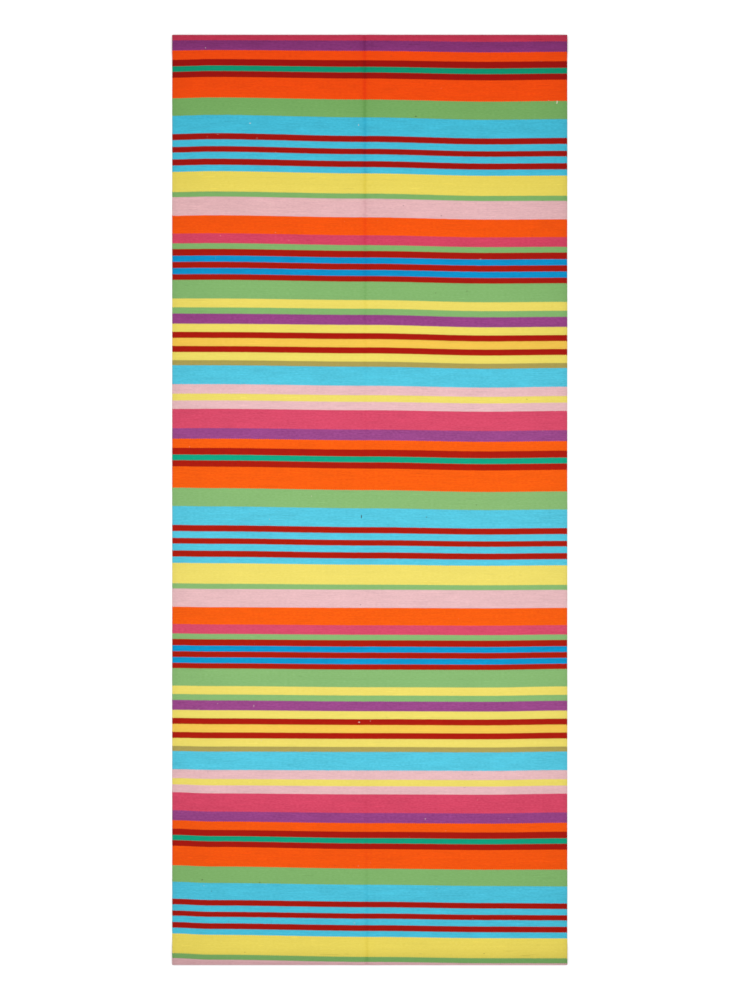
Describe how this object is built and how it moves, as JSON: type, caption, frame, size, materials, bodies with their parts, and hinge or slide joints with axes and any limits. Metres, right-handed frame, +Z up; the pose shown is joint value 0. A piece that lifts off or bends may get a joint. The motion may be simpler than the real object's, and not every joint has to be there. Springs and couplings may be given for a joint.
{
  "type": "kilim runner",
  "caption": "Long flatwoven cotton floor runner with cross stripes in many colours, plain selvedges and ends turned under, lying open and flat.",
  "frame": {"origin": "on the floor, under the middle of the runner", "axes": "+Y along the length, towards the end with the rose and purple stripes; +X across, to the right in the picture; +Z up off the floor"},
  "size_m": [0.85, 2, 0.0077],
  "materials": {
    "woven_cotton": "matt weft-faced cotton weave in bright cross stripes"
  },
  "bodies": {
    "root": {"kilim_runner": "woven_cotton"}
  },
  "joints": []
}
